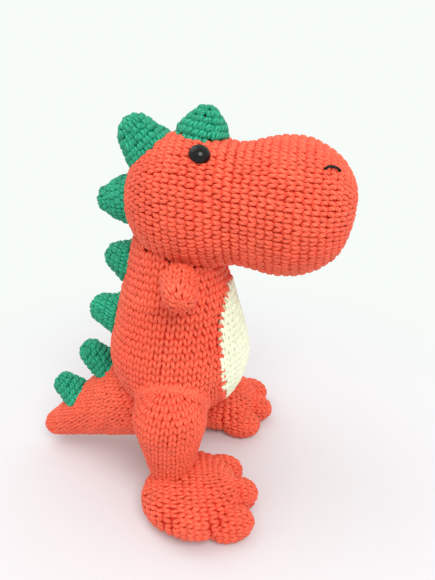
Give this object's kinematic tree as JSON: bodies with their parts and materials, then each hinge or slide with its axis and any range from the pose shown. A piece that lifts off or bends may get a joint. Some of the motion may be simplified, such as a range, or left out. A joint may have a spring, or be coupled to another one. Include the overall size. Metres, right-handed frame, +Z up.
{
  "type": "stuffed dinosaur",
  "caption": "Crocheted stuffed dinosaur standing on two broad feet, with a big head, a pale belly panel, short arms, a tapering tail and a row of spikes.",
  "frame": {"origin": "on the floor under the middle of the whole figure's box", "axes": "+Z up, the dinosaur faces -Y, its right side is at -X"},
  "size_m": [0.1458, 0.1936, 0.2255],
  "materials": {
    "coral_yarn": "crocheted cotton yarn",
    "green_yarn": "crocheted cotton yarn",
    "cream_yarn": "crocheted cotton yarn",
    "black_yarn": "embroidered cotton yarn",
    "eye_plastic": "polished",
    "washer_plastic": "moulded",
    "polyester_stuffing": "loose fibre"
  },
  "bodies": {
    "torso": {"torso_cover": "coral_yarn", "torso_stuffing": "polyester_stuffing", "belly_panel": "cream_yarn", "back_spike_upper": "green_yarn", "back_spike_lower": "green_yarn"},
    "head": {"right_eye": "eye_plastic", "right_eye_washer": "washer_plastic", "left_eye": "eye_plastic", "left_eye_washer": "washer_plastic", "head_cover": "coral_yarn", "head_stuffing": "polyester_stuffing", "right_nostril": "black_yarn", "left_nostril": "black_yarn", "head_spike_front": "green_yarn", "head_spike_top": "green_yarn", "head_spike_back": "green_yarn"},
    "tail": {"tail_cover": "coral_yarn", "tail_stuffing": "polyester_stuffing", "tail_spike_upper": "green_yarn", "tail_spike_lower": "green_yarn"},
    "right_arm": {"right_arm_cover": "coral_yarn", "right_arm_stuffing": "polyester_stuffing"},
    "left_arm": {"left_arm_cover": "coral_yarn", "left_arm_stuffing": "polyester_stuffing"},
    "right_leg": {"right_leg_cover": "coral_yarn", "right_leg_stuffing": "polyester_stuffing", "right_foot_cover": "coral_yarn", "right_foot_stuffing": "polyester_stuffing"},
    "left_leg": {"left_leg_cover": "coral_yarn", "left_leg_stuffing": "polyester_stuffing", "left_foot_cover": "coral_yarn", "left_foot_stuffing": "polyester_stuffing"}
  },
  "joints": [
    {"name": "head_turn", "type": "hinge", "parent": "torso", "child": "head", "pos_m": [-0.00171, -0.0095, 0.1768], "axis": [0, 0, 1], "range_deg": [-20, 20], "stiffness_Nm_per_rad": 0.6},
    {"name": "tail_wag", "type": "hinge", "parent": "torso", "child": "tail", "pos_m": [-0.00171, 0.0268, 0.049], "axis": [0, 0, 1], "range_deg": [-12, 12], "stiffness_Nm_per_rad": 0.5},
    {"name": "right_arm_swing", "type": "hinge", "parent": "torso", "child": "right_arm", "pos_m": [-0.03793, -0.01109, 0.1435], "axis": [0, 1, 0], "range_deg": [-20, 40], "stiffness_Nm_per_rad": 0.08},
    {"name": "left_arm_swing", "type": "hinge", "parent": "torso", "child": "left_arm", "pos_m": [0.03451, -0.01109, 0.1435], "axis": [0, 1, 0], "range_deg": [-40, 20], "stiffness_Nm_per_rad": 0.08},
    {"name": "right_leg_swing", "type": "hinge", "parent": "torso", "child": "right_leg", "pos_m": [-0.03971, -0.0037, 0.062], "axis": [1, 0, 0], "range_deg": [-12, 12], "stiffness_Nm_per_rad": 2.5},
    {"name": "left_leg_swing", "type": "hinge", "parent": "torso", "child": "left_leg", "pos_m": [0.03629, -0.0037, 0.062], "axis": [1, 0, 0], "range_deg": [-12, 12], "stiffness_Nm_per_rad": 2.5}
  ]
}
